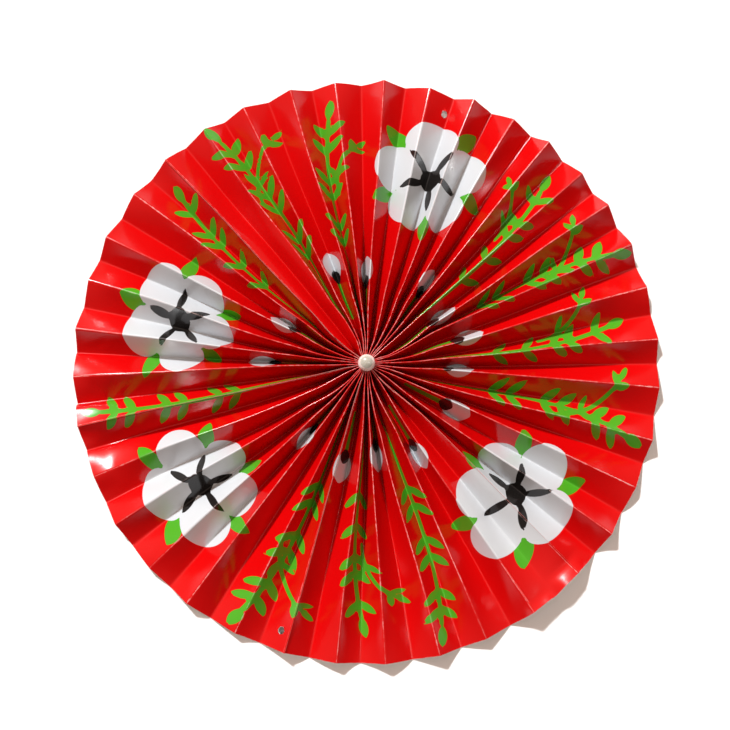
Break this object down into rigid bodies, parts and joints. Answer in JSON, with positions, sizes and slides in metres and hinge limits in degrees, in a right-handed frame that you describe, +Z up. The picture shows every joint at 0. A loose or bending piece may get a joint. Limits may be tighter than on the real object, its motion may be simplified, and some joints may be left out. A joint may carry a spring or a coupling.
{
  "type": "pleated paper fan",
  "caption": "Round pleated fan of glossy printed paper, opened flat into a full circle, with a pearl bead at its gathered centre and punched holes for a string.",
  "frame": {"origin": "centre of the fan on the floor, in the plane that the valley folds rest on", "axes": "+Z up through the pearl bead, out of the printed side; +X to the right and +Y to the top as the fan is seen from above"},
  "size_m": [0.2999, 0.3, 0.0224],
  "materials": {
    "printed_paper": "gloss coated print",
    "glue": "satin hot-melt glue",
    "pearl": "pearl"
  },
  "bodies": {
    "root": {"long_sheet": "printed_paper", "short_sheet_1": "printed_paper", "short_sheet_2": "printed_paper", "short_sheet_3": "printed_paper", "glue_plug": "glue", "pearl_bead": "pearl"}
  },
  "joints": []
}
